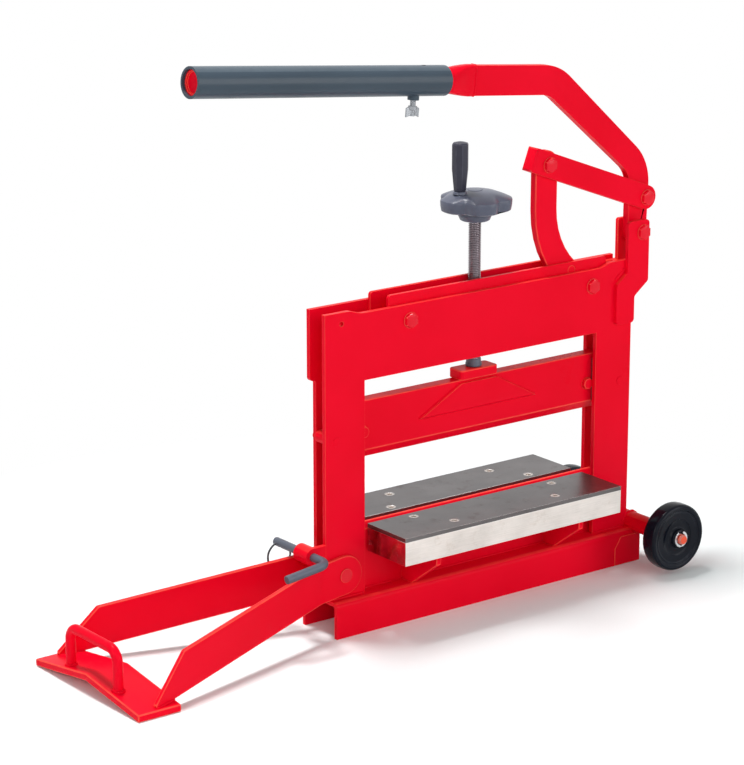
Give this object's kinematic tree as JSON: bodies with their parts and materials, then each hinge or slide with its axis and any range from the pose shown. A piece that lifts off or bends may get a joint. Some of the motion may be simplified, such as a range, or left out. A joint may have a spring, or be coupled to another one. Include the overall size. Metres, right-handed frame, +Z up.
{
  "type": "masonry block splitter",
  "caption": "Hand-operated masonry block splitter: wheeled red portal frame with a lever-driven blade set by a screw spindle over steel tables, with a folding foot rest.",
  "frame": {"origin": "middle of the footprint on the floor, in the plane of the blade", "axes": "+X along the blade from the foot rest to the wheels, +Y from the front portal plate to the rear one, +Z up"},
  "size_m": [0.984, 0.279, 0.8121],
  "materials": {
    "frame_red": "gloss red paint over welded steel",
    "moving_red": "gloss red paint over flat steel",
    "bolt_red": "red paint over bolt heads",
    "table_steel": "bare ground steel",
    "table_top": "dark wear plate, lightly brushed",
    "bright_steel": "zinc plated or turned steel",
    "dark_steel": "dark blackened steel",
    "sleeve_grey": "satin slate-grey coating",
    "knob_plastic": "moulded graphite-grey plastic",
    "tyre_black": "black solid tyre",
    "hub_plastic": "black moulded hub"
  },
  "bodies": {
    "frame": {"base_channel": "frame_red", "front_portal": "frame_red", "rear_portal": "frame_red", "portal_spacers": "frame_red", "portal_bolts": "bolt_red", "head_blocks": "frame_red", "front_ear": "frame_red", "rear_ear": "frame_red", "lever_pivot_bolt": "bolt_red", "rocker_pivot_bolt": "bolt_red", "arm_pivot_bolt": "bolt_red", "lower_knife": "frame_red", "table_brackets": "frame_red", "front_table_block": "table_steel", "front_table_plate": "table_top", "rear_table_block": "table_steel", "rear_table_plate": "table_top", "table_screws": "table_steel", "lock_lug": "frame_red", "foot_pivot_bolts": "bolt_red", "axle_tube": "frame_red", "axle": "bright_steel", "axle_rings": "bright_steel"},
    "front_wheel": {"front_wheel": "tyre_black", "front_hub": "hub_plastic"},
    "rear_wheel": {"rear_wheel": "tyre_black", "rear_hub": "hub_plastic"},
    "foot_rest": {"front_foot_arm": "moving_red", "rear_foot_arm": "moving_red", "foot_plate": "moving_red", "grab_handle": "moving_red"},
    "lock_pin": {"lock_pin": "dark_steel"},
    "keeper_ring": {"keeper_ring": "bright_steel"},
    "lever": {"lever_bar": "moving_red", "lever_tube": "moving_red", "lever_bushes": "bright_steel"},
    "sleeve": {"handle_sleeve": "sleeve_grey"},
    "clamp_screw": {"clamp_screw": "bright_steel"},
    "link": {"link_strap": "moving_red", "link_lever_bolt": "bolt_red", "link_arm_bolt": "bolt_red"},
    "drive_arm": {"drive_arm": "moving_red"},
    "rocker": {"rocker_front_plate": "moving_red", "rocker_rear_plate": "moving_red", "rocker_spacers": "moving_red", "drive_pin": "bright_steel"},
    "nut": {"trunnion_nut": "bright_steel"},
    "blade": {"blade_bar": "moving_red", "blade_gussets": "moving_red", "blade_saddle": "moving_red", "guide_shoes": "bright_steel", "guide_studs": "bright_steel"},
    "spindle": {"spindle": "bright_steel", "spindle_foot": "dark_steel", "handwheel": "knob_plastic", "handwheel_collar": "knob_plastic", "grip_stud": "bright_steel"},
    "grip": {"crank_grip": "knob_plastic"}
  },
  "joints": [
    {"name": "front_wheel_spin", "type": "hinge", "parent": "frame", "child": "front_wheel", "pos_m": [0.442, -0.1155, 0.058], "axis": [0, 1, 0], "continuous": true},
    {"name": "rear_wheel_spin", "type": "hinge", "parent": "frame", "child": "rear_wheel", "pos_m": [0.442, 0.1155, 0.058], "axis": [0, 1, 0], "continuous": true},
    {"name": "foot_rest_fold", "type": "hinge", "parent": "frame", "child": "foot_rest", "pos_m": [-0.0895, 0, 0.0865], "axis": [0, 1, 0], "range_deg": [0, 3]},
    {"name": "lock_pin_turn", "type": "hinge", "parent": "frame", "child": "lock_pin", "pos_m": [-0.139, 0, 0.121], "axis": [0, 1, 0], "range_deg": [0, 150]},
    {"name": "keeper_ring_swing", "type": "hinge", "parent": "lock_pin", "child": "keeper_ring", "pos_m": [-0.139, 0.058, 0.121], "axis": [1, 0, 0], "range_deg": [-20, 20]},
    {"name": "lever_lift", "type": "hinge", "parent": "frame", "child": "lever", "pos_m": [0.448, 0, 0.496], "axis": [0, 1, 0], "range_deg": [0, 50]},
    {"name": "sleeve_slide", "type": "slide", "parent": "lever", "child": "sleeve", "axis": [-0.9952, 0, 0.0979], "range_m": [0, 0.28]},
    {"name": "clamp_screw_turn", "type": "hinge", "parent": "sleeve", "child": "clamp_screw", "pos_m": [0.04767, -0.0042, 0.75545], "axis": [-0.0979, 0, -0.9952], "continuous": true},
    {"name": "link_pivot", "type": "hinge", "parent": "lever", "child": "link", "pos_m": [0.4653, 0, 0.5427], "axis": [0, 1, 0], "range_deg": [-35.8, 0]},
    {"name": "drive_arm_pivot", "type": "hinge", "parent": "frame", "child": "drive_arm", "pos_m": [0.358, 0, 0.4277], "axis": [0, 1, 0], "range_deg": [0, 16.2]},
    {"name": "rocker_pivot", "type": "hinge", "parent": "frame", "child": "rocker", "pos_m": [0.027, 0, 0.4295], "axis": [0, 1, 0], "range_deg": [-2.5, 0]},
    {"name": "nut_pivot", "type": "hinge", "parent": "rocker", "child": "nut", "pos_m": [0.158, 0, 0.437], "axis": [0, 1, 0], "range_deg": [0, 2.5]},
    {"name": "blade_height", "type": "slide", "parent": "nut", "child": "blade", "axis": [0, 0, 1], "range_m": [-0.06, 0.012]},
    {"name": "spindle_turn", "type": "hinge", "parent": "blade", "child": "spindle", "pos_m": [0.158, 0, 0.437], "axis": [0, 0, 1], "range_deg": [-8642, 1730]},
    {"name": "grip_spin", "type": "hinge", "parent": "spindle", "child": "grip", "pos_m": [0.1325, 0.002, 0.62], "axis": [0, 0, 1], "continuous": true}
  ],
  "couplings": [
    {"joint": "link_pivot", "follows": "lever_lift", "ratio": -0.7154},
    {"joint": "drive_arm_pivot", "follows": "lever_lift", "ratio": 0.3229},
    {"joint": "rocker_pivot", "follows": "lever_lift", "ratio": -0.05},
    {"joint": "nut_pivot", "follows": "lever_lift", "ratio": 0.05},
    {"joint": "spindle_turn", "follows": "blade_height", "rad_per_m": 2513.3}
  ]
}
